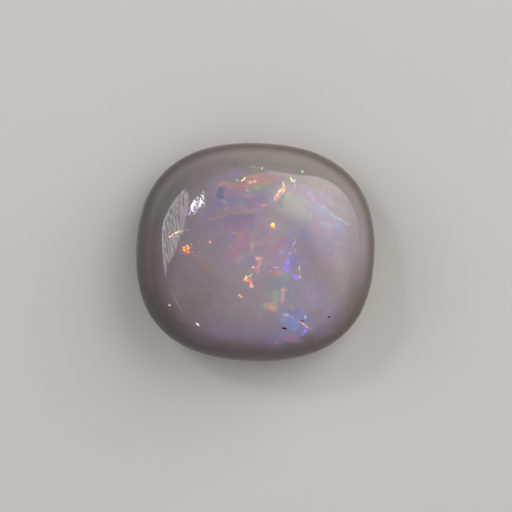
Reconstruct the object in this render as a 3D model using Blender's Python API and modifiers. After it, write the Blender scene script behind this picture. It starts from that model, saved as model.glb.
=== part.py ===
"""Polished opal cabochon with a cushion outline, lying on its flat back.

One stone, in metres, +Z up. X runs along its longer side, Y along its shorter side,
and the origin is the middle of the flat back, on the surface that the stone lies on.
"""

import math

import bmesh
import bpy

# The stone as a caliper would measure it.
LENGTH = 0.0140
WIDTH = 0.0128
GIRDLE_HEIGHT = 0.0015  # the widest line, above the back
DOME_RISE = 0.0039  # from the girdle up to the crown
BACK_FLAT = 0.80  # the flat of the back, as a share of the outline

# The cushion outline is an ellipse whose four corners are filled out a little.
CORNER_FULLNESS = 0.061  # how far a corner stands out past the ellipse
CORNER_LEAN = 0.005  # the hand-cut outline leans, as a share of its size

# How finely the faceted solid follows the polished surface.
TURN_STEPS = 80
DOME_RINGS = 18
UNDERSIDE_RINGS = 6

# Base colour of the milky body, with the finish of a polished stone.
BODY_COLOUR = (0.31, 0.27, 0.31, 1.0)
BODY_ROUGHNESS = 0.12
BODY_IOR = 1.45

BLANK_RADIUS = LENGTH / 2.0
WELD_DISTANCE = 0.000001
QUARTER_TURN = math.pi / 2.0


def clear_scene():
    """Removes the objects that Blender starts with."""
    for old in list(bpy.data.objects):
        bpy.data.objects.remove(old)


def opal_material():
    """Milky, glossy stone."""
    material = bpy.data.materials.new("opal")
    material.use_nodes = True
    shader = material.node_tree.nodes["Principled BSDF"]
    shader.inputs["Base Color"].default_value = BODY_COLOUR
    shader.inputs["Roughness"].default_value = BODY_ROUGHNESS
    shader.inputs["Metallic"].default_value = 0.0
    shader.inputs["IOR"].default_value = BODY_IOR
    material.diffuse_color = BODY_COLOUR
    return material


def side_profile():
    """Half of the stone's side view, from the crown down round the girdle to the middle of the back.

    The dome is a quarter of an ellipse, the underside is a smaller one that rolls in to the
    flat back, and both stand upright where they meet at the girdle.
    """
    points = []
    for ring in range(DOME_RINGS + 1):
        angle = QUARTER_TURN * ring / DOME_RINGS
        height = GIRDLE_HEIGHT + DOME_RISE * math.cos(angle)
        points.append((BLANK_RADIUS * math.sin(angle), height))
    flat_radius = BLANK_RADIUS * BACK_FLAT
    for ring in range(1, UNDERSIDE_RINGS + 1):
        angle = QUARTER_TURN * ring / UNDERSIDE_RINGS
        radius = flat_radius + (BLANK_RADIUS - flat_radius) * math.cos(angle)
        points.append((radius, GIRDLE_HEIGHT * (1.0 - math.sin(angle))))
    points.append((0.0, 0.0))
    return points


def turned_blank(points):
    """Turns the side profile round Z into a closed round stone, as a mesh object."""
    mesh = bpy.data.meshes.new("profile")
    edges = [(i, i + 1) for i in range(len(points) - 1)]
    mesh.from_pydata([(radius, 0.0, height) for radius, height in points], edges, [])
    profile = bpy.data.objects.new("profile", mesh)
    bpy.context.scene.collection.objects.link(profile)

    screw = profile.modifiers.new("turn", "SCREW")
    screw.axis = "Z"
    screw.angle = 2.0 * math.pi
    screw.steps = TURN_STEPS
    screw.render_steps = TURN_STEPS
    screw.use_merge_vertices = True
    screw.merge_threshold = WELD_DISTANCE

    seen = profile.evaluated_get(bpy.context.evaluated_depsgraph_get())
    blank = bpy.data.objects.new("opal", bpy.data.meshes.new_from_object(seen))
    bpy.data.objects.remove(profile)
    return blank


def cushion_point(point):
    """Where a point of the round blank lies on the cushion-shaped stone."""
    reach = math.hypot(point.x, point.y) / BLANK_RADIUS
    turn = math.atan2(point.y, point.x)
    corner = CORNER_FULLNESS * (1.0 - math.cos(4.0 * turn)) / 2.0
    lean = CORNER_LEAN * math.sin(4.0 * turn)
    # The corners are full at the girdle and fade towards the crown, which stays oval.
    outline = 1.0 + (corner + lean) * reach**2
    return (
        LENGTH / 2.0 * reach * math.cos(turn) * outline,
        WIDTH / 2.0 * reach * math.sin(turn) * outline,
    )


def shape_opal(opal):
    """Grinds the round blank to the cushion outline and closes it."""
    stone = bmesh.new()
    stone.from_mesh(opal.data)
    bmesh.ops.remove_doubles(stone, verts=stone.verts, dist=WELD_DISTANCE)
    for vertex in stone.verts:
        vertex.co.x, vertex.co.y = cushion_point(vertex.co)
    bmesh.ops.recalc_face_normals(stone, faces=stone.faces)
    stone.to_mesh(opal.data)
    stone.free()
    opal.data.shade_smooth()
    opal.data.set_sharp_from_angle(angle=math.radians(50.0))


def main():
    clear_scene()
    collection = bpy.data.collections.new("opal_cabochon")
    bpy.context.scene.collection.children.link(collection)
    opal = turned_blank(side_profile())
    shape_opal(opal)
    opal.data.materials.clear()
    opal.data.materials.append(opal_material())
    collection.objects.link(opal)


main()
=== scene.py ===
"""The looks of a polished milky opal cabochon: its fine surface, its body colour and its play of colour.

Metres, in the frame of the CAD part: +Z up, the stone lying on its flat back, centred on the origin.
"""

import math

import bpy
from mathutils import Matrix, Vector, noise


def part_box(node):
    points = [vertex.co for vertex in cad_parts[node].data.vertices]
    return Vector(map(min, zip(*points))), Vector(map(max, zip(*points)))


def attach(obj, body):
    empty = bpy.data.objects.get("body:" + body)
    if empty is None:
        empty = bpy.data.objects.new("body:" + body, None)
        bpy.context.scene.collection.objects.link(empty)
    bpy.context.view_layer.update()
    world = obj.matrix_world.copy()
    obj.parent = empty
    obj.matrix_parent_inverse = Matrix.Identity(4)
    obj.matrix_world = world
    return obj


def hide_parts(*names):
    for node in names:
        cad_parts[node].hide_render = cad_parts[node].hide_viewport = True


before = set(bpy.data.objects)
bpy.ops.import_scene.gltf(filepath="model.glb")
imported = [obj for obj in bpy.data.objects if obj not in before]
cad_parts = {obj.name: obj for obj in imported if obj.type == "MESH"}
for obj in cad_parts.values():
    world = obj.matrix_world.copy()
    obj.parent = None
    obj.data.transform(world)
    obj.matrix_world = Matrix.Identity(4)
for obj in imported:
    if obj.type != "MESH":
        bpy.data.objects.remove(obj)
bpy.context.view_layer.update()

# The opal: one piece of milky silica gel stone with no grain, sawn from the rough, ground to a cushion
# outline with a high dome and a flat back, and polished all over. Nothing holds it, it lies on its back.
MM = 0.001
stone_low, stone_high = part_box("opal")
HALF_LENGTH = (stone_high.x - stone_low.x) / 2.0
HALF_WIDTH = (stone_high.y - stone_low.y) / 2.0
STONE_HEIGHT = stone_high.z
GIRDLE_HEIGHT = 1.5 * MM  # the widest line, above the back
DOME_RISE = STONE_HEIGHT - GIRDLE_HEIGHT
BACK_FLAT = 0.80  # the flat of the back, as a share of the outline
CORNER_FULLNESS = 0.061  # how far a corner stands out past the ellipse
CORNER_LEAN = 0.005  # the hand-cut outline leans, as a share of its size

# Small pits where the polish broke out: x, y, length, width and depth in mm, and turn in degrees.
PITS = [
    (1.68, -4.45, 0.40, 0.13, 0.05, -8.0),
    (2.72, -4.02, 0.28, 0.08, 0.04, -4.0),
    (4.30, -3.79, 0.20, 0.12, 0.05, 20.0),
    (4.11, -3.86, 0.28, 0.05, 0.03, 10.0),
    (-3.37, -4.20, 0.30, 0.07, 0.04, -40.0),
]
PIT_REFINED = 2.2  # how far round a pit the mesh is finer, in pit lengths
PIT_CUTS = 3  # and how many cuts each edge gets there
BALL_SEGMENTS = 288
BALL_RINGS = 176
ROLL_SHARE = 0.5  # the share of the lower rings that make the rolled underside
WAVE_DEPTH = 0.004 * MM  # hand polishing leaves the dome very slightly uneven
WAVE_SIZE = 2.2 * MM
QUARTER_TURN = math.pi / 2.0
CLOSING_STEPS = 20  # rounds in which a pit's place on the ball is closed in on


def cushion(reach, turn):
    """The place on the stone of a point that far out, 1 at the outline, in that direction."""
    corner = CORNER_FULLNESS * (1.0 - math.cos(4.0 * turn)) / 2.0
    lean = CORNER_LEAN * math.sin(4.0 * turn)
    outline = 1.0 + (corner + lean) * reach**2
    return HALF_LENGTH * reach * math.cos(turn) * outline, HALF_WIDTH * reach * math.sin(turn) * outline


def on_sphere(x, y):
    """The direction on the round start that becomes the face's point x, y, found by closing in on it."""
    turn = math.atan2(y / HALF_WIDTH, x / HALF_LENGTH)
    wanted = math.hypot(y / HALF_WIDTH, x / HALF_LENGTH)
    reach = wanted
    for _ in range(CLOSING_STEPS):
        placed = cushion(reach, turn)
        reach *= wanted / math.hypot(placed[0] / HALF_LENGTH, placed[1] / HALF_WIDTH)
    return Vector((reach * math.cos(turn), reach * math.sin(turn), math.sqrt(1.0 - reach**2)))


bpy.ops.object.select_all(action="DESELECT")
bpy.ops.mesh.primitive_uv_sphere_add(segments=BALL_SEGMENTS, ring_count=BALL_RINGS, radius=1.0)
opal = bpy.context.object
opal.name = "polished_opal"
opal.data.name = "polished_opal"

# The mesh is made finer round each pit while it is still a round ball.
bpy.ops.object.mode_set(mode="EDIT")
bpy.ops.mesh.select_all(action="DESELECT")
bpy.ops.object.mode_set(mode="OBJECT")
for x, y, length, *_ in PITS:
    middle = on_sphere(x * MM, y * MM)
    near = PIT_REFINED * length * MM / HALF_LENGTH
    for face in opal.data.polygons:
        face.select = face.select or (face.center - middle).length < near
bpy.ops.object.mode_set(mode="EDIT")
bpy.ops.mesh.subdivide(number_cuts=PIT_CUTS)
bpy.ops.mesh.select_all(action="DESELECT")
bpy.ops.object.mode_set(mode="OBJECT")

for vertex in opal.data.vertices:
    ball = vertex.co.normalized()
    out = math.hypot(ball.x, ball.y)
    turn = math.atan2(ball.y, ball.x)
    if ball.z >= 0.0:
        height = GIRDLE_HEIGHT + DOME_RISE * ball.z
        reach = out
    else:
        # The lower half rolls in under the girdle until it meets the flat back, which closes it.
        fall = math.asin(min(1.0, -ball.z)) / QUARTER_TURN
        if fall < ROLL_SHARE:
            roll = fall / ROLL_SHARE * QUARTER_TURN
            reach = BACK_FLAT + (1.0 - BACK_FLAT) * math.cos(roll)
            height = GIRDLE_HEIGHT * (1.0 - math.sin(roll))
        else:
            reach = BACK_FLAT * (1.0 - fall) / (1.0 - ROLL_SHARE)
            height = 0.0
    vertex.co = (*cushion(reach, turn), height)
opal.data.update()

# Waves and pits go in along the polished surface's own normals.
normals = [vertex.normal.copy() for vertex in opal.data.vertices]
for vertex, normal in zip(opal.data.vertices, normals):
    place = vertex.co.copy()
    lift = WAVE_DEPTH * noise.noise(place / WAVE_SIZE) * min(1.0, place.z / GIRDLE_HEIGHT)
    if place.z > GIRDLE_HEIGHT:
        for x, y, length, width, depth, turn in PITS:
            across, along = place.x - x * MM, place.y - y * MM
            cos_turn, sin_turn = math.cos(math.radians(turn)), math.sin(math.radians(turn))
            u = (across * cos_turn + along * sin_turn) / (length * MM / 2.0)
            v = (along * cos_turn - across * sin_turn) / (width * MM / 2.0)
            inside = u * u + v * v
            if inside < 1.0:
                lift -= depth * MM * (1.0 - inside) ** 2
    vertex.co = place + normal * lift
opal.data.update()
bpy.ops.object.shade_smooth()


class Wire:
    """One output in a material's node tree. Sums and products of wires add Math nodes."""

    def __init__(self, tree, socket=None):
        self.tree = tree
        self.socket = socket

    def node(self, kind, settings, sockets, output=0):
        """Adds a node, sets it up, fills or links its sockets, and returns the wire out of it."""
        made = self.tree.nodes.new(kind)
        for name, value in settings.items():
            if name == "stops":
                for stop in list(made.color_ramp.elements)[1:]:
                    made.color_ramp.elements.remove(stop)
                made.color_ramp.elements[0].position = value[0][0]
                made.color_ramp.elements[0].color = value[0][1]
                for position, colour in value[1:]:
                    made.color_ramp.elements.new(position).color = colour
            else:
                setattr(made, name, value)
        for name, value in sockets.items():
            if isinstance(value, Wire):
                self.tree.links.new(value.socket, made.inputs[name])
            else:
                made.inputs[name].default_value = value
        return Wire(self.tree, made.outputs[output] if made.outputs else None)

    def math(self, operation, *values):
        """The result of a Math node that is given those wires and numbers."""
        return self.node("ShaderNodeMath", {"operation": operation}, dict(enumerate(values)))

    def __add__(self, other):
        return self.math("ADD", self, other)

    __radd__ = __add__

    def __sub__(self, other):
        return self.math("SUBTRACT", self, other)

    def __rsub__(self, other):
        return self.math("SUBTRACT", other, self)

    def __mul__(self, other):
        return self.math("MULTIPLY", self, other)

    __rmul__ = __mul__

    def ramp(self, low, high, start=0.0, end=1.0):
        """Eases from start to end while the wire goes from low to high."""
        spans = {"Value": self, "From Min": low, "From Max": high, "To Min": start, "To Max": end}
        return self.node("ShaderNodeMapRange", {"interpolation_type": "SMOOTHSTEP", "clamp": False}, spans)

    def tint(self, other, share, blend="MIX"):
        """This colour with another laid over it, by a share from 0 to 1."""
        sockets = {0: share, 6: self, 7: other}
        settings = {"data_type": "RGBA", "blend_type": blend}
        return self.node("ShaderNodeMix", settings, sockets, output=2)


opal_finish = bpy.data.materials.new("milky opal")
opal_finish.use_nodes = True
opal_finish.node_tree.nodes.clear()
bench = Wire(opal_finish.node_tree)

# The place in the stone in millimetres, and the same place shaken a little so that no edge is a clean oval.
here = bench.node("ShaderNodeTexCoord", {}, {}, output=3)
place = here.node("ShaderNodeVectorMath", {"operation": "SCALE"}, {0: here, "Scale": 1.0 / MM})


def shaken(scale, amount, detail):
    """The place moved by a noise of that many waves a millimetre, by up to that many millimetres."""
    texture = {"Vector": place, "Scale": scale, "Detail": detail}
    shake = place.node("ShaderNodeTexNoise", {"normalize": False}, texture, output=1)
    pushed = place.node("ShaderNodeVectorMath", {"operation": "SCALE"}, {0: shake, "Scale": amount})
    return place.node("ShaderNodeVectorMath", {"operation": "ADD"}, {0: place, 1: pushed})


cloud_place = shaken(0.75, 0.42, 4.0)
silk_place = shaken(1.7, 0.15, 4.0)
fire_place = shaken(2.8, 0.09, 4.0)
east = place.node("ShaderNodeSeparateXYZ", {}, {"Vector": place}, output=0)
north = place.node("ShaderNodeSeparateXYZ", {}, {"Vector": place}, output=1)
height = place.node("ShaderNodeSeparateXYZ", {}, {"Vector": place}, output=2)
COLUMN_DEPTH = 1e6  # a patch reaches through the whole stone


def patch(where, x, y, length, width, turn, soft, strength=1.0):
    """The strength inside an oval column through the stone, easing to 0 over that share of its size."""
    oval = where.node(
        "ShaderNodeMapping",
        {"vector_type": "TEXTURE"},
        {
            "Vector": where,
            "Location": (x, y, 0.0),
            "Rotation": (0.0, 0.0, math.radians(turn)),
            "Scale": (length / 2.0, width / 2.0, COLUMN_DEPTH),
        },
    )
    inward = oval.node("ShaderNodeTexGradient", {"gradient_type": "SPHERICAL"}, {"Vector": oval}, output=1)
    return inward.ramp(0.0, soft, 0.0, strength)


# The milky body: light that the silica spheres scatter, cool and pale where the stone is thick, and going
# through grey to honey brown in the thin edge, partly the thin edge's own colour and partly painted shade
# where the dome falls away from the light. Millimetres up from the back, and colour.
BODY_AND_PAINTED_EDGE_SHADE_BY_HEIGHT = [
    (0.9, (0.135, 0.110, 0.092, 1.0)),
    (1.6, (0.106, 0.081, 0.064, 1.0)),
    (2.45, (0.112, 0.090, 0.076, 1.0)),
    (2.93, (0.150, 0.127, 0.116, 1.0)),
    (3.40, (0.232, 0.202, 0.194, 1.0)),
    (3.87, (0.312, 0.270, 0.276, 1.0)),
    (4.45, (0.385, 0.328, 0.356, 1.0)),
    (5.0, (0.420, 0.352, 0.400, 1.0)),
]
TOP_MM = 5.4
stops = [(up / TOP_MM, colour) for up, colour in BODY_AND_PAINTED_EDGE_SHADE_BY_HEIGHT]
body = place.node("ShaderNodeValToRGB", {"stops": stops}, {"Fac": height * (1.0 / TOP_MM)})

VIOLET_HAZE = (0.385, 0.305, 0.430, 1.0)
ROSE_HAZE = (0.530, 0.325, 0.420, 1.0)
WARM_HAZE = (0.470, 0.320, 0.310, 1.0)
LAVENDER = (0.395, 0.345, 0.465, 1.0)
PALE_LAVENDER = (0.430, 0.385, 0.500, 1.0)
BLUE_HAZE = (0.275, 0.310, 0.620, 1.0)
SEA_GREY = (0.425, 0.420, 0.415, 1.0)
TEAL_GREY = (0.335, 0.360, 0.428, 1.0)
PEWTER = (0.330, 0.302, 0.300, 1.0)
MAGENTA_HAZE = (0.470, 0.300, 0.440, 1.0)

# Clouds of colour under the face: colour, strength, x, y, length, width, turn.
CLOUDS = [
    (PEWTER, 0.70, -3.0, -2.4, 4.4, 4.0, 30.0),
    (VIOLET_HAZE, 0.90, -1.1, 1.6, 5.4, 4.4, 0.0),
    (VIOLET_HAZE, 0.45, -1.4, 3.4, 4.2, 2.2, 6.0),
    (LAVENDER, 0.70, 3.8, 1.0, 4.4, 5.6, 20.0),
    (LAVENDER, 0.60, 2.2, -1.4, 3.6, 9.0, 0.0),
    (PALE_LAVENDER, 0.50, 3.9, -2.6, 3.0, 4.0, 30.0),
    (PALE_LAVENDER, 0.30, 4.2, -3.9, 3.4, 1.8, 40.0),
    (LAVENDER, 0.60, 2.9, -4.4, 4.4, 1.6, 18.0),
    (ROSE_HAZE, 0.54, -0.6, 0.2, 3.2, 2.6, 50.0),
    (ROSE_HAZE, 0.48, 0.9, 0.2, 2.8, 2.8, 0.0),
    (WARM_HAZE, 0.50, -2.8, -0.7, 2.8, 1.3, -25.0),
    (WARM_HAZE, 0.40, 0.2, 4.2, 3.2, 0.9, 2.0),
    (SEA_GREY, 0.78, 2.2, 2.7, 3.0, 1.6, -48.0),
    (PALE_LAVENDER, 0.30, 4.3, 3.1, 3.0, 1.8, -40.0),
    (TEAL_GREY, 0.48, 2.1, 1.2, 1.6, 1.8, 20.0),
    (TEAL_GREY, 0.80, 1.5, -2.2, 2.8, 2.0, 10.0),
    (BLUE_HAZE, 0.78, 2.35, -3.95, 2.6, 1.9, -25.0),
    (BLUE_HAZE, 0.40, 2.1, -0.6, 1.1, 2.0, 10.0),
    (BLUE_HAZE, 0.22, 1.3, -4.9, 3.2, 1.8, 0.0),
    (LAVENDER, 0.40, -0.6, -4.6, 8.6, 2.0, 0.0),
    (MAGENTA_HAZE, 0.60, 1.9, -5.1, 2.0, 0.9, -6.0),
]
face = height.ramp(1.5, 2.3)
# Painted light and shade on the shoulder: painted light on the right and lower right, partly its milkier
# lavender colour there; painted light as an even pale grey along the top; and painted shade below.
# These are not shaken, so that the rim stays clean.
FLANK_LAVENDER_PAINTED_LIGHT = (0.300, 0.258, 0.298, 1.0)
TOP_GREY_PAINTED_LIGHT = (0.300, 0.279, 0.267, 1.0)
LOWER_PAINTED_SHADE = (0.80, 0.77, 0.77, 1.0)
shoulder = height.ramp(2.3, 3.3)
body = body.tint(FLANK_LAVENDER_PAINTED_LIGHT, patch(place, 6.2, 1.2, 3.4, 11.0, 4.0, 1.0, 0.9) * shoulder)
body = body.tint(FLANK_LAVENDER_PAINTED_LIGHT, patch(place, 4.4, -4.2, 6.0, 3.0, 40.0, 1.0, 0.7) * shoulder)
top_shoulder_painted_light = height.ramp(2.45, 3.25) * height.ramp(3.5, 4.3, 0.85, 0.0)
body = body.tint(TOP_GREY_PAINTED_LIGHT, north.ramp(0.0, 4.2) * top_shoulder_painted_light)
lower_shoulder_painted_shade = north.ramp(-4.6, 0.0, 1.0, 0.0) * height.ramp(3.1, 4.0, 1.0, 0.0)
body = body.tint(LOWER_PAINTED_SHADE, lower_shoulder_painted_shade, "MULTIPLY")
CLOUD_SOFTNESS = 0.8
for colour, strength, x, y, length, width, turn in CLOUDS:
    body = body.tint(colour, patch(cloud_place, x, y, length, width, turn, CLOUD_SOFTNESS, strength))


def strokes(turn, long, fine, detail):
    """The colours of brushed streaks that run in one direction, their length and width in millimetres."""
    brushed = place.node(
        "ShaderNodeMapping",
        {"vector_type": "TEXTURE"},
        {"Vector": cloud_place, "Rotation": (0.0, 0.0, math.radians(turn)), "Scale": (long, fine, 4.0)},
    )
    texture = {"Vector": brushed, "Scale": 1.0, "Detail": detail, "Roughness": 0.6}
    return brushed.node("ShaderNodeTexNoise", {}, texture, output=1)


def richer(colour, saturation):
    """That colour with its saturation multiplied."""
    return colour.node("ShaderNodeHueSaturation", {}, {"Saturation": saturation, "Color": colour})


# The clouds are brushed: fanned from the lower left in the middle of the face, and level along its top.
fan = strokes(52.0, 2.0, 0.62, 6.0)
level = strokes(8.0, 2.4, 0.60, 6.0)
fan_zone = patch(cloud_place, 0.0, 0.2, 6.4, 6.0, 0.0, 0.7) * face
level_zone = patch(cloud_place, -0.8, 3.2, 6.0, 4.0, 0.0, 0.7) * face
body = body.tint(richer(fan, 1.25), fan_zone * 0.38, "OVERLAY")
body = body.tint(richer(level, 1.45), level_zone * 0.36, "OVERLAY")

# The flank has wide, faint clouds of every hue, and the face has wisps of paler milk.
MILK = (0.62, 0.60, 0.66, 1.0)
drift = {"Vector": cloud_place, "Scale": 0.42, "Detail": 3.0}
drift_colour = richer(cloud_place.node("ShaderNodeTexNoise", {}, drift, output=1), 2.2)
body = body.tint(drift_colour, height.ramp(1.2, 2.9, 0.30, 0.0), "OVERLAY")
wisps = {"Vector": place, "Scale": 1.1, "Detail": 6.0, "Roughness": 0.62}
wisp_share = place.node("ShaderNodeTexNoise", {}, wisps).ramp(0.42, 0.72, 0.0, 0.14)
body = body.tint(MILK, wisp_share * height.ramp(3.2, 4.6))

# Sheens: soft coloured streaks and patches that lie just under the polish, with torn, silky edges.
APRICOT = (0.610, 0.365, 0.260, 1.0)
SALMON = (0.840, 0.420, 0.300, 1.0)
DUSTY_ROSE = (0.560, 0.335, 0.350, 1.0)
BROWN_ROSE = (0.550, 0.385, 0.375, 1.0)
BLUSH = (0.700, 0.470, 0.450, 1.0)
WARM_ROSE = (0.640, 0.330, 0.360, 1.0)
CORAL = (0.725, 0.450, 0.455, 1.0)
SEA_GREEN = (0.290, 0.470, 0.430, 1.0)
MOSS = (0.330, 0.450, 0.310, 1.0)
OLIVE = (0.285, 0.270, 0.240, 1.0)
JADE = (0.270, 0.485, 0.320, 1.0)
SAGE = (0.450, 0.490, 0.420, 1.0)
DEEP_TEAL = (0.165, 0.205, 0.280, 1.0)
PERIWINKLE = (0.320, 0.300, 0.600, 1.0)
MAUVE = (0.460, 0.360, 0.500, 1.0)
LILAC = (0.520, 0.410, 0.760, 1.0)
SKY = (0.335, 0.450, 0.690, 1.0)
ICE = (0.560, 0.690, 0.760, 1.0)
CREAM = (0.700, 0.560, 0.420, 1.0)
OYSTER = (0.500, 0.470, 0.450, 1.0)
STEEL = (0.310, 0.345, 0.410, 1.0)
DUSK = (0.280, 0.265, 0.380, 1.0)
SCRATCH_BROWN = (0.130, 0.105, 0.110, 1.0)

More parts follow.
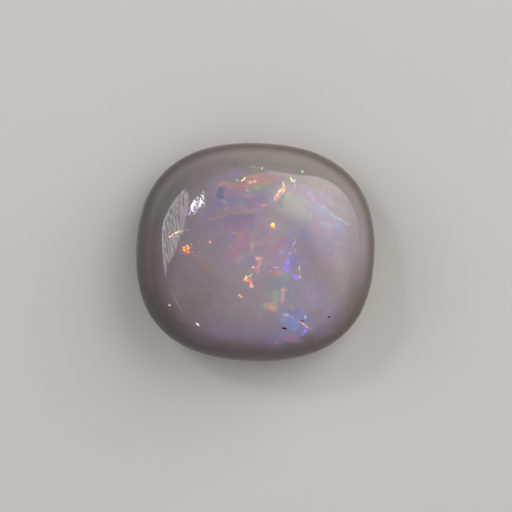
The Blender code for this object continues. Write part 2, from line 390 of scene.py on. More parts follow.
# Colour, strength, x, y, length, width, turn.
SHEENS = [
    # the warm band along the top, torn from left to right, with jade under it and violet over it
    (VIOLET_HAZE, 0.55, -1.30, 4.46, 1.90, 0.80, 10.0),
    (SALMON, 0.28, -1.28, 3.90, 2.00, 0.46, -3.0),
    (APRICOT, 0.40, -1.40, 3.94, 1.30, 0.22, -3.0),
    (OYSTER, 0.40, -1.55, 3.70, 0.90, 0.18, 0.0),
    (SALMON, 0.48, -0.06, 4.40, 1.05, 0.26, 3.0),
    (DUSTY_ROSE, 0.70, 0.72, 4.24, 1.40, 0.62, -3.0),
    (APRICOT, 0.60, 0.40, 4.02, 0.90, 0.24, -8.0),
    (DUSTY_ROSE, 0.60, -0.46, 3.80, 0.50, 0.16, -55.0),
    (JADE, 0.52, 0.30, 3.77, 1.15, 0.22, -3.0),
    (JADE, 0.40, 0.92, 3.66, 0.60, 0.18, -6.0),
    (JADE, 0.55, -1.08, 4.17, 0.32, 0.30, 0.0),
    (BROWN_ROSE, 0.55, -0.49, 3.32, 1.10, 0.32, 0.0),
    (DUSTY_ROSE, 0.22, -1.13, 3.52, 0.60, 0.50, 0.0),
    # the violet field at the upper left, with a dark teal patch and a pale curl
    (LILAC, 0.35, -2.32, 3.60, 0.95, 0.24, 84.0),
    (STEEL, 0.50, -2.10, 3.40, 1.10, 0.70, 96.0),
    (DEEP_TEAL, 0.60, -2.04, 3.40, 0.90, 0.40, 96.0),
    (PERIWINKLE, 0.46, -2.22, 2.76, 0.80, 0.50, 60.0),
    (PERIWINKLE, 0.30, -2.55, 2.40, 0.80, 0.36, 50.0),
    (PERIWINKLE, 0.18, -1.34, 2.88, 0.55, 0.50, 0.0),
    (STEEL, 0.50, -0.78, 2.90, 0.80, 0.55, 0.0),
    (OYSTER, 0.75, -1.86, 2.92, 0.36, 0.18, -38.0),
    (OYSTER, 0.65, -1.68, 2.62, 0.44, 0.15, -68.0),
    # level dusty bands below it
    (DUSK, 0.60, -0.90, 1.98, 2.10, 0.46, 7.0),
    (DUSK, 0.16, 0.20, 3.05, 0.90, 0.40, 30.0),
    (SALMON, 0.40, -2.48, 1.94, 0.44, 0.18, 2.0),
    (BROWN_ROSE, 0.65, -1.95, 2.12, 0.95, 0.20, 16.0),
    (DUSTY_ROSE, 0.60, -1.07, 2.32, 1.20, 0.24, 9.0),
    (BROWN_ROSE, 0.65, -0.20, 2.42, 1.10, 0.22, 4.0),
    (SALMON, 0.55, 0.40, 2.70, 0.56, 0.17, 16.0),
    (PERIWINKLE, 0.34, 0.30, 2.41, 0.42, 0.36, 0.0),
    (MAUVE, 0.55, 0.34, 1.90, 0.80, 0.75, 0.0),
    # the fanned rose strokes in the middle
    (DUSTY_ROSE, 0.56, -0.76, 1.00, 1.15, 0.66, 56.0),
    (ROSE_HAZE, 0.50, -0.80, 0.46, 1.10, 0.66, 62.0),
    (BLUSH, 0.50, -0.20, 0.26, 1.00, 0.32, 72.0),
    (BLUSH, 0.50, -0.90, -0.46, 0.60, 0.38, 60.0),
    (STEEL, 0.35, -1.70, 0.60, 1.30, 0.16, 84.0),
    (STEEL, 0.30, -1.38, 0.30, 1.00, 0.14, 80.0),
    (STEEL, 0.40, -0.49, -0.20, 1.30, 0.34, 72.0),
    (STEEL, 0.30, -1.55, 0.80, 1.20, 0.30, 50.0),
    (MAUVE, 0.40, -0.10, 0.95, 1.40, 0.40, 48.0),
    (DUSTY_ROSE, 0.35, -1.50, -0.10, 1.30, 0.36, 40.0),
    (VIOLET_HAZE, 0.60, 0.98, -0.35, 1.40, 1.20, 90.0),
    (WARM_ROSE, 0.60, 0.22, -0.42, 0.52, 0.46, 0.0),
    (WARM_ROSE, 0.62, 0.16, -0.80, 0.66, 0.34, 70.0),
    (WARM_ROSE, 0.45, 0.02, -1.14, 0.46, 0.34, 40.0),
    (ROSE_HAZE, 0.30, 0.70, 0.10, 1.20, 0.60, 60.0),
    (DUSTY_ROSE, 0.65, 1.10, -1.15, 0.90, 0.42, 0.0),
    (SALMON, 0.40, 1.42, -1.22, 0.36, 0.28, 0.0),
    (BROWN_ROSE, 0.50, -3.30, -0.32, 0.80, 0.36, -35.0),
    (DUSTY_ROSE, 0.45, -3.05, -0.95, 0.90, 0.30, -60.0),
    # sea green and steel on the right of the middle
    (OLIVE, 0.55, 1.60, 3.05, 1.00, 0.62, 80.0),
    (MOSS, 0.40, 1.92, 2.94, 0.85, 0.50, 80.0),
    (CREAM, 0.22, 1.80, 3.20, 0.60, 0.36, 70.0),
    (PEWTER, 0.30, 2.20, 2.85, 1.00, 0.70, -45.0),
    (SEA_GREY, 0.60, 2.60, 2.35, 1.70, 0.80, -52.0),
    (MOSS, 0.22, 3.05, 1.90, 0.50, 0.30, -30.0),
    (MOSS, 0.22, 2.45, 1.65, 0.55, 0.50, 0.0),
    (STEEL, 0.18, 1.80, 1.30, 0.60, 1.20, 20.0),
    (PERIWINKLE, 0.42, 2.95, 1.08, 0.50, 0.90, -8.0),
    (PERIWINKLE, 0.35, 2.00, 0.60, 0.45, 1.20, 10.0),
    (PERIWINKLE, 0.30, 2.27, -0.35, 0.42, 0.60, 0.0),
    (STEEL, 0.45, 1.09, -1.50, 0.85, 0.20, 5.0),
    (SEA_GREEN, 0.75, 1.86, -1.38, 0.60, 0.44, 0.0),
    (STEEL, 0.45, 0.75, -1.66, 1.30, 0.34, 0.0),
    (STEEL, 0.34, 1.15, -1.90, 1.20, 0.90, 0.0),
    (STEEL, 0.55, 2.15, -2.55, 0.85, 0.85, 0.0),
    # the upper right: lilac above a sky-blue line that runs down to the right, in faintly tinted silk
    (DUSTY_ROSE, 0.25, 3.60, 3.95, 1.50, 0.70, -14.0),
    (OYSTER, 0.16, 4.60, 3.55, 1.50, 0.70, -40.0),
    (MAUVE, 0.40, 2.90, 3.75, 1.00, 0.50, -30.0),
    (SAGE, 0.26, 3.15, 2.75, 1.10, 0.50, -40.0),
    (SAGE, 0.30, 2.72, 2.08, 0.60, 0.40, 0.0),
    (CREAM, 0.14, 4.40, 2.95, 1.00, 0.36, -42.0),
    (OYSTER, 0.16, 5.10, 2.60, 1.10, 0.50, -60.0),
    (DUSTY_ROSE, 0.20, 3.45, 1.50, 0.55, 1.90, 4.0),
    (PERIWINKLE, 0.28, 4.95, 1.15, 0.90, 1.10, 0.0),
    (ICE, 0.30, 4.15, 1.60, 0.70, 0.40, -20.0),
    (DUSTY_ROSE, 0.25, 4.10, -0.60, 1.40, 1.60, 10.0),
    (LILAC, 0.25, 3.30, -2.40, 1.20, 1.80, 20.0),
    (SAGE, 0.22, 5.00, -1.40, 0.80, 2.40, 6.0),
    (LILAC, 0.75, 2.21, 3.86, 0.42, 0.18, 86.0),
    (LILAC, 0.64, 3.33, 3.17, 1.10, 0.32, -50.0),
    (LILAC, 0.36, 3.85, 3.47, 0.34, 0.28, 0.0),
    (MAUVE, 0.30, 3.91, 3.10, 0.65, 0.50, 0.0),
    (SKY, 0.32, 3.55, 2.40, 1.00, 0.60, -40.0),
    (SKY, 0.44, 4.09, 2.40, 1.25, 0.34, -35.0),
    (ICE, 0.24, 4.55, 2.14, 0.80, 0.16, -36.0),
    (ICE, 0.36, 5.12, 1.80, 0.90, 0.16, -27.0),
    (SKY, 0.40, 4.85, 1.55, 1.10, 0.60, -28.0),
    (MAUVE, 0.40, 3.79, 1.40, 1.60, 1.10, 0.0),
    (CREAM, 0.16, 4.82, 0.47, 0.65, 0.26, 42.0),
    # the lower right: a salmon stub with moss beside it, a beige blot, and the blue pool
    (SAGE, 0.75, 1.22, -2.68, 0.95, 0.52, 78.0),
    (CORAL, 0.80, 1.65, -2.52, 0.95, 0.27, 78.0),
    (CORAL, 0.62, 1.70, -2.24, 0.44, 0.36, 0.0),
    (CREAM, 0.80, 0.90, -3.20, 0.95, 0.56, -18.0),
    (SALMON, 0.75, 0.92, -3.26, 0.54, 0.28, -30.0),
    (OYSTER, 0.80, 2.04, -3.19, 0.24, 0.20, 0.0),
    (SKY, 0.40, 2.20, -3.90, 1.60, 1.10, -20.0),
    (PERIWINKLE, 0.65, 2.62, -3.42, 0.75, 0.42, -10.0),
    (DUSK, 0.50, 2.18, -3.54, 0.80, 0.24, -28.0),
    (PERIWINKLE, 0.40, 2.00, -4.10, 1.30, 0.80, -24.0),
    (BROWN_ROSE, 0.60, 3.05, -4.10, 0.62, 0.07, -9.0),
    (SCRATCH_BROWN, 0.75, 2.98, -4.05, 0.62, 0.045, -8.0),
    (SKY, 0.38, 2.05, -4.18, 1.10, 0.60, -20.0),
    (SKY, 0.85, 2.36, -4.46, 0.50, 0.22, 8.0),
    (SKY, 0.60, 1.60, -4.00, 0.50, 0.40, 0.0),
    (CREAM, 0.90, 1.84, -3.72, 0.36, 0.18, -10.0),
    (LILAC, 0.60, 2.45, -4.02, 0.70, 0.12, -26.0),
    (PERIWINKLE, 0.40, 1.21, -4.92, 0.60, 0.30, 0.0),
    (ROSE_HAZE, 0.26, 2.04, -5.04, 1.10, 0.42, 0.0),
    (DUSTY_ROSE, 0.16, 2.15, -5.28, 0.60, 0.18, 0.0),
    (DUSTY_ROSE, 0.55, 1.21, -5.25, 0.34, 0.22, 10.0),
    (PERIWINKLE, 0.45, -4.30, -3.98, 0.26, 0.20, 0.0),
    (JADE, 0.30, -3.01, -4.01, 0.24, 0.12, 0.0),
    (DUSTY_ROSE, 0.35, -3.01, -4.28, 0.24, 0.14, 0.0),
]
SHEEN_SPREAD = 1.3  # a sheen fades out past its size
SHEEN_SOFTNESS = 0.68
silk = {"Vector": silk_place, "Scale": 3.4, "Detail": 5.0, "Roughness": 0.66}
torn = silk_place.node("ShaderNodeTexNoise", {}, silk).ramp(0.38, 0.60, 0.50, 1.20)
for colour, strength, x, y, length, width, turn in SHEENS:
    length, width = length * SHEEN_SPREAD, width * SHEEN_SPREAD
    body = body.tint(colour, patch(silk_place, x, y, length, width, turn, SHEEN_SOFTNESS, strength) * torn)

# Towards the front edge the milk turns lilac. Towards the left the face is darker and greyer, painted shade
# falling away from the light on the right, and the right half of the face is a little dimmer than its rim,
# also painted shade.
FRONT_LILAC = (0.98, 0.94, 1.08, 1.0)
LEFT_PAINTED_SHADE = (0.70, 0.72, 0.75, 1.0)
RIGHT_PAINTED_SHADE = (0.80, 0.81, 0.82, 1.0)
front_edge = north.ramp(-6.0, -3.0, 1.0, 0.0) * height.ramp(2.4, 3.0)
body = body.tint(FRONT_LILAC, front_edge, "MULTIPLY")
body = body.tint(LEFT_PAINTED_SHADE, east.ramp(-6.5, 2.5, 1.0, 0.0), "MULTIPLY")
body = body.tint(RIGHT_PAINTED_SHADE, patch(place, 3.4, -0.4, 4.2, 8.6, 6.0, 1.0), "MULTIPLY")

# The play of colour: small domains in which the spheres stand in even rows and send back one pure colour.
# Their colour is laid into the body, and their brightness is painted light that glows through the emission.
RED = (1.0, 0.15, 0.09, 1.0)
ROSE_RED = (1.0, 0.24, 0.22, 1.0)
PINK = (1.0, 0.34, 0.38, 1.0)
ORANGE = (1.0, 0.32, 0.10, 1.0)
PEACH = (1.0, 0.56, 0.38, 1.0)
AMBER = (1.0, 0.60, 0.12, 1.0)
LEMON = (1.0, 0.93, 0.30, 1.0)
LEAF_GREEN = (0.24, 0.70, 0.30, 1.0)
ICE_BLUE = (0.50, 0.80, 0.88, 1.0)
BLUE = (0.14, 0.28, 0.75, 1.0)
VIOLET = (0.36, 0.21, 1.0, 1.0)
WHITE = (0.95, 0.95, 1.0, 1.0)

# Flecks on the face: colour, strength, x, y, length, width, turn.
FLECKS = [
    # the bright points of the warm band along the top
    (RED, 0.62, -2.04, 3.93, 0.34, 0.24, 20.0),
    (RED, 0.35, -1.86, 4.10, 0.18, 0.16, 0.0),
    (ORANGE, 0.64, -0.20, 4.11, 0.66, 0.28, -2.0),
    (PEACH, 0.34, -0.14, 4.12, 0.40, 0.14, 0.0),
    (LEMON, 0.90, -0.76, 4.15, 0.34, 0.09, 42.0),
    (LEMON, 0.60, -0.66, 4.28, 0.16, 0.12, 0.0),
    (LEAF_GREEN, 0.40, -1.06, 4.18, 0.20, 0.18, 0.0),
    (ROSE_RED, 0.40, -0.50, 3.86, 0.28, 0.10, -60.0),
    (LEAF_GREEN, 0.75, -0.46, 3.58, 0.18, 0.14, 0.0),
    (LEAF_GREEN, 0.35, 0.10, 3.76, 0.50, 0.18, -4.0),
    (LEMON, 0.26, 0.00, 4.98, 0.90, 0.09, -3.0),
    (LEMON, 0.65, 0.40, 4.88, 0.16, 0.14, 0.0),
    (LEAF_GREEN, 1.00, 2.74, 4.70, 0.20, 0.18, 0.0),
    (WHITE, 0.12, 2.74, 4.71, 0.10, 0.10, 0.0),
    # a ragged peach ribbon of short strands, with a yellow and a blue point above it
    (PEACH, 0.46, 1.46, 3.52, 1.00, 0.46, 60.0),
    (PEACH, 0.80, 1.64, 3.90, 0.40, 0.12, 84.0),
    (ROSE_RED, 0.60, 1.75, 3.70, 0.38, 0.11, 58.0),
    (PEACH, 0.95, 1.61, 3.56, 0.46, 0.10, 60.0),
    (PEACH, 0.90, 1.47, 3.60, 0.52, 0.10, 62.0),
    (ORANGE, 0.85, 1.37, 3.42, 0.52, 0.11, 62.0),
    (PEACH, 1.00, 1.27, 3.30, 0.44, 0.12, 60.0),
    (ROSE_RED, 0.75, 1.16, 3.16, 0.34, 0.14, 75.0),
    (LEMON, 0.55, 1.17, 3.02, 0.14, 0.12, 0.0),
    (LEAF_GREEN, 0.35, 1.28, 3.08, 0.14, 0.10, 0.0),
    (WHITE, 0.30, 1.42, 3.52, 0.24, 0.05, 60.0),
    (LEMON, 1.00, 2.04, 4.32, 0.24, 0.14, -50.0),
    (LEMON, 1.00, 2.12, 4.20, 0.20, 0.15, -50.0),
    (ICE_BLUE, 0.80, 2.27, 4.13, 0.24, 0.11, 80.0),
    (BLUE, 0.28, 1.05, 3.78, 0.44, 0.20, 50.0),
    # points on the sky-blue line across the upper right
    (WHITE, 0.28, 3.72, 2.80, 0.26, 0.10, -34.0),
    (PEACH, 0.20, 3.92, 2.68, 0.30, 0.12, -30.0),
    (ICE_BLUE, 0.30, 4.05, 2.56, 0.40, 0.10, -34.0),
    (WHITE, 0.30, 4.46, 2.18, 0.14, 0.09, -30.0),
    (WHITE, 0.40, 4.70, 2.03, 0.14, 0.09, -36.0),
    (ICE_BLUE, 0.12, 4.98, 1.86, 0.60, 0.08, -30.0),
    (ICE_BLUE, 0.14, 5.34, 1.70, 0.40, 0.08, -24.0),
    (WHITE, 0.26, 3.14, 2.26, 0.24, 0.14, -20.0),
    (WHITE, 0.20, 3.24, 2.06, 0.24, 0.10, -60.0),
    # faint points across the upper left
    (ROSE_RED, 0.55, 0.50, 2.74, 0.34, 0.13, 8.0),
    (ORANGE, 0.24, -2.50, 1.94, 0.30, 0.10, 0.0),
    (WHITE, 0.30, 0.86, 2.94, 0.16, 0.14, 0.0),
    (WHITE, 0.22, -1.84, 2.92, 0.26, 0.10, -40.0),
    # the brightest point of all, in a violet halo
    (VIOLET, 0.30, 0.98, 1.58, 0.80, 0.80, 0.0),
    (RED, 0.80, 0.95, 1.43, 0.30, 0.22, 20.0),
    (ORANGE, 1.00, 1.01, 1.54, 0.32, 0.44, 0.0),
    (AMBER, 1.00, 1.01, 1.58, 0.24, 0.36, 0.0),
    (LEMON, 1.00, 0.98, 1.66, 0.16, 0.20, 0.0),
    # the left side
    (ORANGE, 0.90, -4.97, 0.92, 0.20, 0.11, 42.0),
    (PEACH, 0.90, -4.84, 1.00, 0.26, 0.11, 36.0),
    (ORANGE, 0.55, -4.76, 0.88, 0.18, 0.08, -60.0),
    (LEMON, 0.90, -4.62, 1.12, 0.26, 0.09, 20.0),
    (AMBER, 0.90, -4.44, 1.17, 0.28, 0.08, -4.0),
    (ORANGE, 0.75, -4.21, 1.21, 0.28, 0.08, 20.0),
    (ROSE_RED, 0.60, -4.00, 1.25, 0.40, 0.06, 4.0),
    (PEACH, 0.45, -4.56, 0.96, 0.26, 0.06, 24.0),
    (RED, 0.30, -4.00, 0.18, 0.90, 0.70, 30.0),
    (RED, 0.75, -3.98, 0.13, 0.52, 0.48, 30.0),
    (LEMON, 1.00, -3.99, 0.34, 0.15, 0.13, 0.0),
    (AMBER, 1.00, -4.12, 0.25, 0.16, 0.12, 0.0),
    (LEMON, 1.00, -3.88, 0.19, 0.15, 0.19, 0.0),
    (AMBER, 0.95, -4.08, 0.08, 0.18, 0.12, 0.0),
    (ORANGE, 1.00, -3.92, -0.02, 0.24, 0.17, -40.0),
    (RED, 0.65, -3.70, 0.43, 0.26, 0.09, 20.0),
    (RED, 0.22, -4.30, 0.50, 0.34, 0.16, -20.0),
    (ROSE_RED, 0.55, -3.63, 0.02, 0.14, 0.12, 0.0),
    (ROSE_RED, 0.65, -3.54, -0.17, 0.16, 0.13, 0.0),
    (WHITE, 0.35, -3.25, 0.00, 0.12, 0.12, 0.0),
    (ROSE_RED, 0.35, -3.05, 0.02, 0.14, 0.12, 0.0),
    (ROSE_RED, 0.85, -2.60, 0.56, 0.20, 0.15, -40.0),
    (WHITE, 0.60, -2.66, 0.64, 0.10, 0.09, 0.0),
    (PEACH, 0.95, -5.00, -3.11, 0.18, 0.13, -45.0),
    (WHITE, 0.60, -5.03, -3.09, 0.09, 0.08, 0.0),
    (WHITE, 0.55, -1.27, 1.09, 0.15, 0.13, 0.0),
    (WHITE, 0.40, -1.43, 0.36, 0.14, 0.12, 0.0),
    (WHITE, 0.30, -3.30, 0.60, 0.12, 0.10, 0.0),
    (WHITE, 0.25, -3.55, 1.35, 0.10, 0.10, 0.0),
    (WHITE, 0.25, -3.10, 1.10, 0.10, 0.10, 0.0),
    (WHITE, 0.25, -1.75, 0.75, 0.10, 0.10, 0.0),
    # a chain of red and yellow points down the middle
    (PINK, 0.58, 0.19, -0.38, 0.40, 0.32, 0.0),
    (WHITE, 0.30, 0.25, -0.32, 0.10, 0.10, 0.0),
    (PEACH, 0.50, 0.06, -0.40, 0.12, 0.20, 0.0),
    (PINK, 0.44, 0.22, -0.74, 0.50, 0.30, 84.0),
    (PEACH, 0.90, -0.07, -0.87, 0.17, 0.14, 0.0),
    (WHITE, 0.50, -0.09, -0.85, 0.08, 0.08, 0.0),
    (RED, 0.60, 0.06, -0.94, 0.16, 0.14, 0.0),
    (PINK, 0.34, 0.14, -1.12, 0.40, 0.26, 60.0),
    (RED, 0.30, -0.28, -1.15, 0.18, 0.16, 0.0),
    (LEMON, 0.75, -0.32, -1.37, 0.32, 0.08, 46.0),
    (LEAF_GREEN, 0.45, -0.20, -1.30, 0.20, 0.10, 20.0),
    (LEMON, 0.50, -0.22, -1.48, 0.14, 0.10, 0.0),
    (ORANGE, 1.00, -0.56, -1.60, 0.28, 0.32, 0.0),
    (AMBER, 1.00, -0.53, -1.54, 0.20, 0.24, 0.0),
    (LEMON, 1.00, -0.50, -1.47, 0.14, 0.14, 0.0),
    (ROSE_RED, 0.85, -0.32, -1.74, 0.52, 0.20, -66.0),
    (PEACH, 0.90, -0.22, -1.98, 0.24, 0.22, -50.0),
    (PEACH, 1.00, -0.91, -2.53, 0.22, 0.11, -34.0),
    (WHITE, 0.80, -0.94, -2.51, 0.10, 0.08, 0.0),
    (ORANGE, 0.85, -0.78, -2.61, 0.20, 0.12, -20.0),
    (ROSE_RED, 0.36, -0.60, -2.60, 0.22, 0.09, 0.0),
    # the violet wedge and the points beside it
    (VIOLET, 0.60, 1.87, -0.46, 0.50, 0.15, 84.0),
    (VIOLET, 0.70, 1.84, -0.72, 0.62, 0.31, 86.0),
    (VIOLET, 0.62, 1.79, -0.98, 0.56, 0.44, 0.0),
    (VIOLET, 0.80, 2.34, -1.42, 0.52, 0.26, -42.0),
    (VIOLET, 0.50, 2.08, -1.22, 0.34, 0.10, -42.0),
    (VIOLET, 0.42, 1.60, -0.06, 0.46, 0.18, -60.0),
    (VIOLET, 0.35, 2.77, -1.48, 0.22, 0.16, 0.0),
    (PEACH, 0.44, 2.52, -0.90, 0.52, 0.12, 86.0),
    (WHITE, 0.16, 2.54, -0.84, 0.26, 0.08, 86.0),
    (AMBER, 0.55, 2.58, -1.18, 0.24, 0.08, 80.0),
    (PEACH, 0.65, 2.60, -1.42, 0.24, 0.12, -50.0),
    (WHITE, 0.34, 1.06, -0.92, 0.13, 0.12, 0.0),
    (WHITE, 0.34, 1.22, -0.92, 0.13, 0.12, 0.0),
    (WHITE, 0.24, 1.38, -0.93, 0.12, 0.12, 0.0),
    (WHITE, 0.40, 2.28, 0.66, 0.56, 0.10, 86.0),
    (WHITE, 0.36, 2.23, 0.34, 0.40, 0.10, 84.0),
    (WHITE, 0.40, 2.06, -0.05, 0.28, 0.11, 66.0),
    (WHITE, 0.20, 2.30, 0.10, 0.30, 0.08, 80.0),
    # the lower right: the head and foot of the salmon stub, and the streaks over the blue pool
    (ROSE_RED, 0.34, 1.72, -2.26, 0.36, 0.30, 0.0),
    (WHITE, 0.40, 1.62, -2.18, 0.18, 0.12, 0.0),
    (PEACH, 0.30, 1.62, -2.62, 0.60, 0.16, 78.0),
    (LEMON, 0.28, 1.55, -2.90, 0.26, 0.12, 78.0),
    (ORANGE, 0.34, 0.92, -3.28, 0.36, 0.18, -30.0),
    (WHITE, 0.55, 1.65, -3.62, 0.16, 0.14, 0.0),
    (PEACH, 0.55, 1.86, -3.72, 0.30, 0.14, -8.0),
    (VIOLET, 0.70, 2.08, -3.79, 0.26, 0.17, 10.0),
    (VIOLET, 0.30, 2.80, -3.50, 0.34, 0.24, 0.0),
    (ICE_BLUE, 0.70, 2.94, -3.77, 0.24, 0.12, -74.0),
    (WHITE, 0.26, 1.57, -3.95, 0.20, 0.12, 0.0),
    (WHITE, 0.26, 1.64, -4.20, 0.26, 0.08, 0.0),
    (PEACH, 0.60, 2.58, -4.08, 0.34, 0.08, -30.0),
    (PEACH, 0.70, 2.78, -4.18, 0.38, 0.15, -36.0),
    (PEACH, 0.55, 2.98, -4.30, 0.38, 0.13, -28.0),
    (PEACH, 0.40, 3.22, -4.42, 0.26, 0.07, -24.0),
    (VIOLET, 0.95, 2.92, -4.60, 0.34, 0.18, 84.0),
    (VIOLET, 0.60, 2.78, -4.78, 0.34, 0.18, 34.0),
    (RED, 0.40, 1.21, -5.25, 0.24, 0.18, 8.0),
    # a painted highlight: the lamp's glint in the chipped pit at the lower left
    (WHITE, 1.00, -3.38, -4.21, 0.30, 0.10, -38.0),
    (WHITE, 0.80, -3.38, -4.21, 0.24, 0.07, -38.0),
]
FLECK_SPREAD = 1.5  # a fleck fades out past its size
FLECK_SOFTNESS = 0.8
UNLIT = (0.5, 0.5, 0.6, 1.0)
fire_colour = place.node("ShaderNodeRGB", {}, {})
fire_colour.socket.default_value = UNLIT
fire_light = place * 0.0
for colour, strength, x, y, length, width, turn in FLECKS:
    spot = patch(fire_place, x, y, length * FLECK_SPREAD, width * FLECK_SPREAD, turn, FLECK_SOFTNESS)
    fire_colour = fire_colour.tint(colour, spot)
    fire_light = fire_light.math("MAXIMUM", fire_light, spot * strength)
fire_light = fire_light * face


def cells(per_mm, output):
    """Cells, that many to a millimetre: output 0 is how far off a cell's middle is, 1 its random colour."""
    packing = {"Vector": fire_place, "Scale": per_mm}
    return fire_place.node("ShaderNodeTexVoronoi", {}, packing, output=output)


def channel(colour, number):
    """Red, green or blue of a random colour, which stands for a random number: 0, 1 or 2."""
    return colour.node("ShaderNodeSeparateColor", {}, {"Color": colour}, output=number)


# Smaller and fainter domains are scattered through the flank and the back, and glow with painted light too.
DOMAINS_PER_MM = 1.0
SCATTERED = [(0.0, RED), (0.18, ORANGE), (0.36, AMBER), (0.48, LEAF_GREEN), (0.68, BLUE), (0.84, VIOLET)]
below = height.ramp(1.5, 2.4, 1.0, 0.0)
domain_middle = cells(DOMAINS_PER_MM, 0).ramp(0.07, 0.20, 1.0, 0.0)
domain_pick = channel(cells(DOMAINS_PER_MM, 1), 0).ramp(0.42, 0.50)
domain_hue = channel(cells(DOMAINS_PER_MM, 1), 1)
scattered = domain_hue.node("ShaderNodeValToRGB", {"stops": SCATTERED}, {"Fac": domain_hue})
fire_colour = fire_colour.tint(scattered, below)
fire_light = fire_light.math("MAXIMUM", fire_light, domain_middle * domain_pick * below * 0.75)

# Faint pinpoints of painted light, which glow through the emission, are sprinkled all through the face.
PIN_PINK = (1.0, 0.80, 0.82, 1.0)
PINS_PER_MM = 2.3
pin_middle = cells(PINS_PER_MM, 0).ramp(0.05, 0.13, 1.0, 0.0)
pin_pick = channel(cells(PINS_PER_MM, 1), 0).ramp(0.70, 0.95)
pins = pin_middle * pin_pick * height.ramp(3.6, 4.4) * 0.42
fire_colour = fire_colour.tint(PIN_PINK, pins)
fire_light = fire_light.math("MAXIMUM", fire_light, pins)

# Each fleck is made of tiny grains that light up one by one and differ a little in colour.
GRAINS_PER_MM = 8.5
threshold = channel(cells(GRAINS_PER_MM, 1), 0) * 0.6
hue = channel(cells(GRAINS_PER_MM, 1), 1) * 0.07 + 0.475
lit = fire_light.ramp(threshold, threshold + 0.22)
fire_colour = fire_colour.node("ShaderNodeHueSaturation", {}, {"Hue": hue, "Color": fire_colour})
fire_light = fire_light * (lit * 0.72 + 0.28)
dark = place.node("ShaderNodeRGB", {}, {})
dark.socket.default_value = (0.0, 0.0, 0.0, 1.0)
fire_painted_glow = dark.tint(fire_colour, fire_light)
lit_body = body.tint(fire_colour, fire_light)

# The three widest pits are painted dark: painted shade in the hollows where the polish broke out.
PIT_PAINTED_SHADE = (0.020, 0.016, 0.016, 1.0)
PIT_SHADE_SPREAD = 1.2
pit_shade = place * 0.0
for x, y, length, width, _, turn in PITS[:3]:
    shaded_pit = patch(place, x, y, length * PIT_SHADE_SPREAD, width * PIT_SHADE_SPREAD, turn, 0.6)
    pit_shade = pit_shade.math("MAXIMUM", pit_shade, shaded_pit)
lit_body = lit_body.tint(PIT_PAINTED_SHADE, pit_shade * face)

POLISH = 0.05
# The flecks' painted light goes in as emission, so the play of colour glows.
shader = place.node(
    "ShaderNodeBsdfPrincipled",
    {"subsurface_method": "RANDOM_WALK"},
    {
        "Base Color": lit_body,
        "Roughness": POLISH,
        "IOR": 1.5,
        "Subsurface Weight": 1.0,
        "Subsurface Radius": (1.0, 0.85, 0.75),
        "Subsurface Scale": 2.0 * MM,
        "Emission Color": fire_painted_glow,
        "Emission Strength": 0.30,
    },
)
shader.node("ShaderNodeOutputMaterial", {}, {"Surface": shader})
opal.data.materials.clear()
opal.data.materials.append(opal_finish)

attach(opal, "root")
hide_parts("opal")

# The table that the stone lies on: a wide sheet of pale matt card, cut from the roll and laid flat. It is
# only a place to look at the stone on, and isn't part of it.
bpy.ops.object.select_all(action="DESELECT")
TABLE_SIDE = 1.6
bpy.ops.mesh.primitive_plane_add(size=TABLE_SIDE, location=(0.0, 0.0, 0.0))
table = bpy.context.object
table.name = "pale_table"
CARD_COLOUR = (0.62, 0.61, 0.60, 1.0)
card = bpy.data.materials.new("pale card")
card.use_nodes = True
card.node_tree.nodes["Principled BSDF"].inputs["Base Color"].default_value = CARD_COLOUR
card.node_tree.nodes["Principled BSDF"].inputs["Roughness"].default_value = 0.9
table.data.materials.append(card)

# The studio: cards and lamps of soft light that stand round the table and that the camera doesn't see, only
# the polish does. Each is a thin sheet cut to shape, and its corners are the directions in which it stands.
LIGHT_DISTANCE = 0.45


def glowing_card(name, corners, glow, distance=LIGHT_DISTANCE):
    """A sheet of light. Corners are azimuth, from +X towards +Y, and elevation, both in degrees."""
    bpy.ops.object.select_all(action="DESELECT")
    bpy.ops.mesh.primitive_circle_add(vertices=len(corners), radius=distance, fill_type="NGON")
    sheet = bpy.context.object
    sheet.name = name
    for vertex, (azimuth, elevation) in zip(sheet.data.vertices, corners):
        turn, lift = math.radians(azimuth), math.radians(elevation)
        across = Vector((math.cos(turn) * math.cos(lift), math.sin(turn) * math.cos(lift), math.sin(lift)))
        vertex.co = across * distance
    sheet.data.update()
    light = bpy.data.materials.new(name)
    light.use_nodes = True
    light.node_tree.nodes.clear()
    lamp = Wire(light.node_tree)
    spot = lamp.node("ShaderNodeTexCoord", {}, {}, output=3)
    colour, strength = glow(spot)
    shine = lamp.node("ShaderNodeEmission", {}, {"Color": colour, "Strength": strength})
    lamp.node("ShaderNodeOutputMaterial", {}, {"Surface": shine})
    sheet.data.materials.append(light)
    sheet.visible_camera = False


def key_glow(spot):
    """The key box is brightest at its far end, and fades along the table and towards its top edge."""
    away = spot.node("ShaderNodeVectorMath", {"operation": "NORMALIZE"}, {0: spot})
    rightwards = away.node("ShaderNodeSeparateXYZ", {}, {"Vector": away}, output=0)
    backwards = away.node("ShaderNodeSeparateXYZ", {}, {"Vector": away}, output=1)
    lift = away.node("ShaderNodeSeparateXYZ", {}, {"Vector": away}, output=2)
    turn = backwards.math("ARCTAN2", backwards, rightwards) * math.degrees(1.0)
    # Turns are azimuths in degrees, and lifts are sines of the elevation.
    bright = turn.ramp(-34.0, 52.0, 0.15, 3.3) * lift.ramp(0.74, 0.90, 1.0, 0.0)
    far_end = turn.ramp(60.0, 84.0) * lift.ramp(0.37, 0.52, 0.12, 1.0)
    haze = turn.ramp(-40.0, 60.0, 0.30, 0.07)
    return (1.0, 0.97, 0.94, 1.0), bright * (1.0 - far_end) + haze


KEY_CORNERS = [
    (84, 21), (75, 22), (67, 20), (60, 13), (52, 9), (43, 6), (25, 2), (0, 1),
    (-40, 1), (-40, 37), (-37, 48), (-9, 60), (28, 64), (51, 66), (72, 63), (80, 44),
]
glowing_card("key_box", KEY_CORNERS, key_glow)


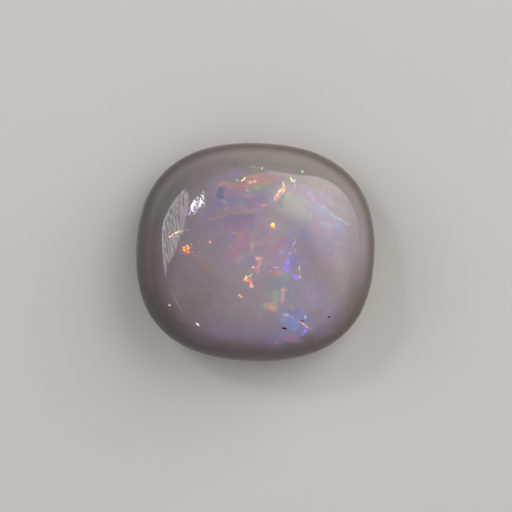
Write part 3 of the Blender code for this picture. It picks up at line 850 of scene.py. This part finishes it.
def reflector_glow(spot):
    """The crinkled cloth of the reflector shows as fine darker lines that run down it aslant."""
    slant = math.radians(32.0)
    aslant = spot.node("ShaderNodeMapping", {}, {"Vector": spot, "Rotation": (slant, 0.0, 0.0)})
    crease = {"Vector": aslant, "Scale": 14.5, "Distortion": 8.0, "Detail": 4.0, "Detail Scale": 1.6}
    lines = aslant.node("ShaderNodeTexWave", {"bands_direction": "Z"}, crease, output=1)
    return (1.0, 0.99, 0.96, 1.0), lines.ramp(0.15, 0.85, 0.9, 5.0)


REFLECTOR_CORNERS = [
    (134, 21), (135, 29), (140, 35), (148, 39), (162, 42), (171, 40), (179, 36), (184, 33),
    (187, 26), (195, 24), (182, 22), (171, 19), (164, 17), (157, 19), (151, 20), (143, 21),
]
glowing_card("round_reflector", REFLECTOR_CORNERS, reflector_glow)


def hem_glow(spot):
    """The reflector's stiff lower hem is brighter than its cloth."""
    return (1.0, 0.98, 0.95, 1.0), 6.5


HEM_CORNERS = [
    (136, 21), (144, 21), (151, 19.7), (157.6, 18.6), (164, 17), (171, 18.4), (181, 22),
    (195, 24.2), (182, 23.4), (171, 20), (164, 18.6), (157.6, 20.4), (151, 21), (144, 22),
]
HEM_DISTANCE = LIGHT_DISTANCE * 0.95  # the hem stands just in front of the cloth
glowing_card("reflector_hem", HEM_CORNERS, hem_glow, HEM_DISTANCE)


def rim_glow(spot):
    """The far rim of the reflector, worn dull in places."""
    worn = spot.node("ShaderNodeTexNoise", {}, {"Vector": spot, "Scale": 22.0, "Detail": 2.0})
    return (1.0, 0.98, 0.96, 1.0), worn.ramp(0.35, 0.6, 1.2, 2.6)


RIM_CORNERS = [
    (200, 25.4), (208, 26), (215, 25.8), (221, 24.6), (227, 22),
    (232, 18), (228, 20), (222, 22.8), (215, 24.2), (208, 24.6),
]
glowing_card("reflector_rim", RIM_CORNERS, rim_glow)

# The lamp is a torn bundle of bare diodes behind a ribbed lens, which turns some of them violet.
# Azimuth, elevation, length and width in degrees, turn, brightness, and how violet the diode is.
DIODES = [
    (139.6, 39.0, 9.2, 2.0, 17.0, 55.0, 0.1),
    (138.6, 40.9, 1.6, 2.0, 20.0, 50.0, 0.2),
    (135.2, 40.0, 2.2, 2.6, 60.0, 30.0, 0.7),
    (131.7, 40.4, 1.2, 3.4, -6.0, 55.0, 0.0),
    (132.6, 42.2, 2.2, 1.5, 30.0, 50.0, 0.0),
    (135.4, 43.3, 3.6, 1.5, 22.0, 50.0, 0.2),
    (128.5, 38.6, 1.1, 5.0, -14.0, 26.0, 0.0),
    (128.4, 41.0, 1.1, 1.6, -14.0, 34.0, 0.0),
    (132.2, 44.1, 1.0, 2.8, 10.0, 26.0, 0.0),
    (132.6, 37.2, 1.6, 2.2, -20.0, 18.0, 0.0),
    (143.2, 42.1, 2.4, 2.2, 0.0, 24.0, 0.9),
    (141.9, 41.0, 1.6, 1.2, 0.0, 24.0, 0.8),
    (139.3, 43.9, 2.0, 1.6, 0.0, 20.0, 0.8),
    (142.3, 44.8, 2.0, 1.5, 0.0, 18.0, 0.9),
    (147.8, 40.8, 2.2, 1.8, 0.0, 20.0, 1.0),
    (145.5, 40.9, 1.4, 1.2, 0.0, 22.0, 0.9),
    (144.9, 44.8, 1.6, 1.3, 0.0, 14.0, 0.6),
    (139.8, 42.4, 2.2, 1.4, 0.0, 24.0, 0.8),
    (131.0, 44.8, 1.0, 0.9, 0.0, 14.0, 0.1),
    (124.4, 38.8, 1.0, 1.1, 0.0, 14.0, 0.0),
    (125.0, 35.9, 1.0, 1.1, 0.0, 12.0, 0.0),
    (126.2, 33.8, 1.1, 1.1, 0.0, 14.0, 0.0),
    (133.8, 35.1, 1.1, 1.1, 0.0, 10.0, 0.0),
    (134.1, 46.4, 1.0, 1.0, 0.0, 12.0, 0.3),
]
DIODE_SIDES = 7
DIODE_DISTANCE = LIGHT_DISTANCE * 0.90
for number, (azimuth, elevation, length, width, turn, brightness, violet) in enumerate(DIODES):
    cos_turn, sin_turn = math.cos(math.radians(turn)), math.sin(math.radians(turn))
    corners = []
    for side in range(DIODE_SIDES):
        around = 2.0 * math.pi * side / DIODE_SIDES
        along, across = length / 2.0 * math.cos(around), width / 2.0 * math.sin(around)
        sideways = along * cos_turn - across * sin_turn
        upwards = along * sin_turn + across * cos_turn
        corners.append((azimuth + sideways, elevation + upwards))
    tinted = (1.0 - 0.30 * violet, 0.98 - 0.38 * violet, 1.0, 1.0)
    glowing_card(f"diode_{number}", corners, lambda spot: (tinted, brightness), DIODE_DISTANCE)

# The room: a pale painted ceiling that fills in softly from above and from the near side, and grows dim
# towards the far wall.
room = bpy.data.worlds.new("studio_room")
bpy.context.scene.world = room
room.use_nodes = True
room.node_tree.nodes.clear()
air = Wire(room.node_tree)
sky = air.node("ShaderNodeTexCoord", {}, {}, output=0)
NEAR_AND_UP = (0.0, -0.7, 0.7)
facing = sky.node("ShaderNodeVectorMath", {"operation": "DOT_PRODUCT"}, {0: sky, 1: NEAR_AND_UP}, output=1)
fill = facing.ramp(0.1, 1.0, 0.06, 0.55)
backdrop = air.node("ShaderNodeBackground", {}, {"Color": (1.0, 0.99, 0.98, 1.0), "Strength": fill})
air.node("ShaderNodeOutputWorld", {}, {"Surface": backdrop})

# The camera: it hangs over the table and looks straight down on the face. It shows the stone from the same
# side as the photograph does, as large, and in the same place in the picture.
PHOTO_SIDE = 512.0
PHOTO_STONE_LENGTH = 238.66  # pixels from end to end of the outline
PHOTO_STONE_CENTRE = (255.34, 252.08)
CAMERA_DISTANCE = 0.40
SENSOR = 36.0
metres_per_pixel = 2.0 * HALF_LENGTH / PHOTO_STONE_LENGTH
view_width = PHOTO_SIDE * metres_per_pixel
eye = bpy.data.cameras.new("camera")
eye.sensor_width = SENSOR
eye.lens = SENSOR * CAMERA_DISTANCE / view_width
camera = bpy.data.objects.new("camera", eye)
bpy.context.scene.collection.objects.link(camera)
camera.location = (
    (PHOTO_SIDE / 2.0 - PHOTO_STONE_CENTRE[0]) * metres_per_pixel,
    (PHOTO_STONE_CENTRE[1] - PHOTO_SIDE / 2.0) * metres_per_pixel,
    GIRDLE_HEIGHT + CAMERA_DISTANCE,
)
bpy.context.scene.camera = camera
bpy.context.scene.view_settings.view_transform = "Standard"
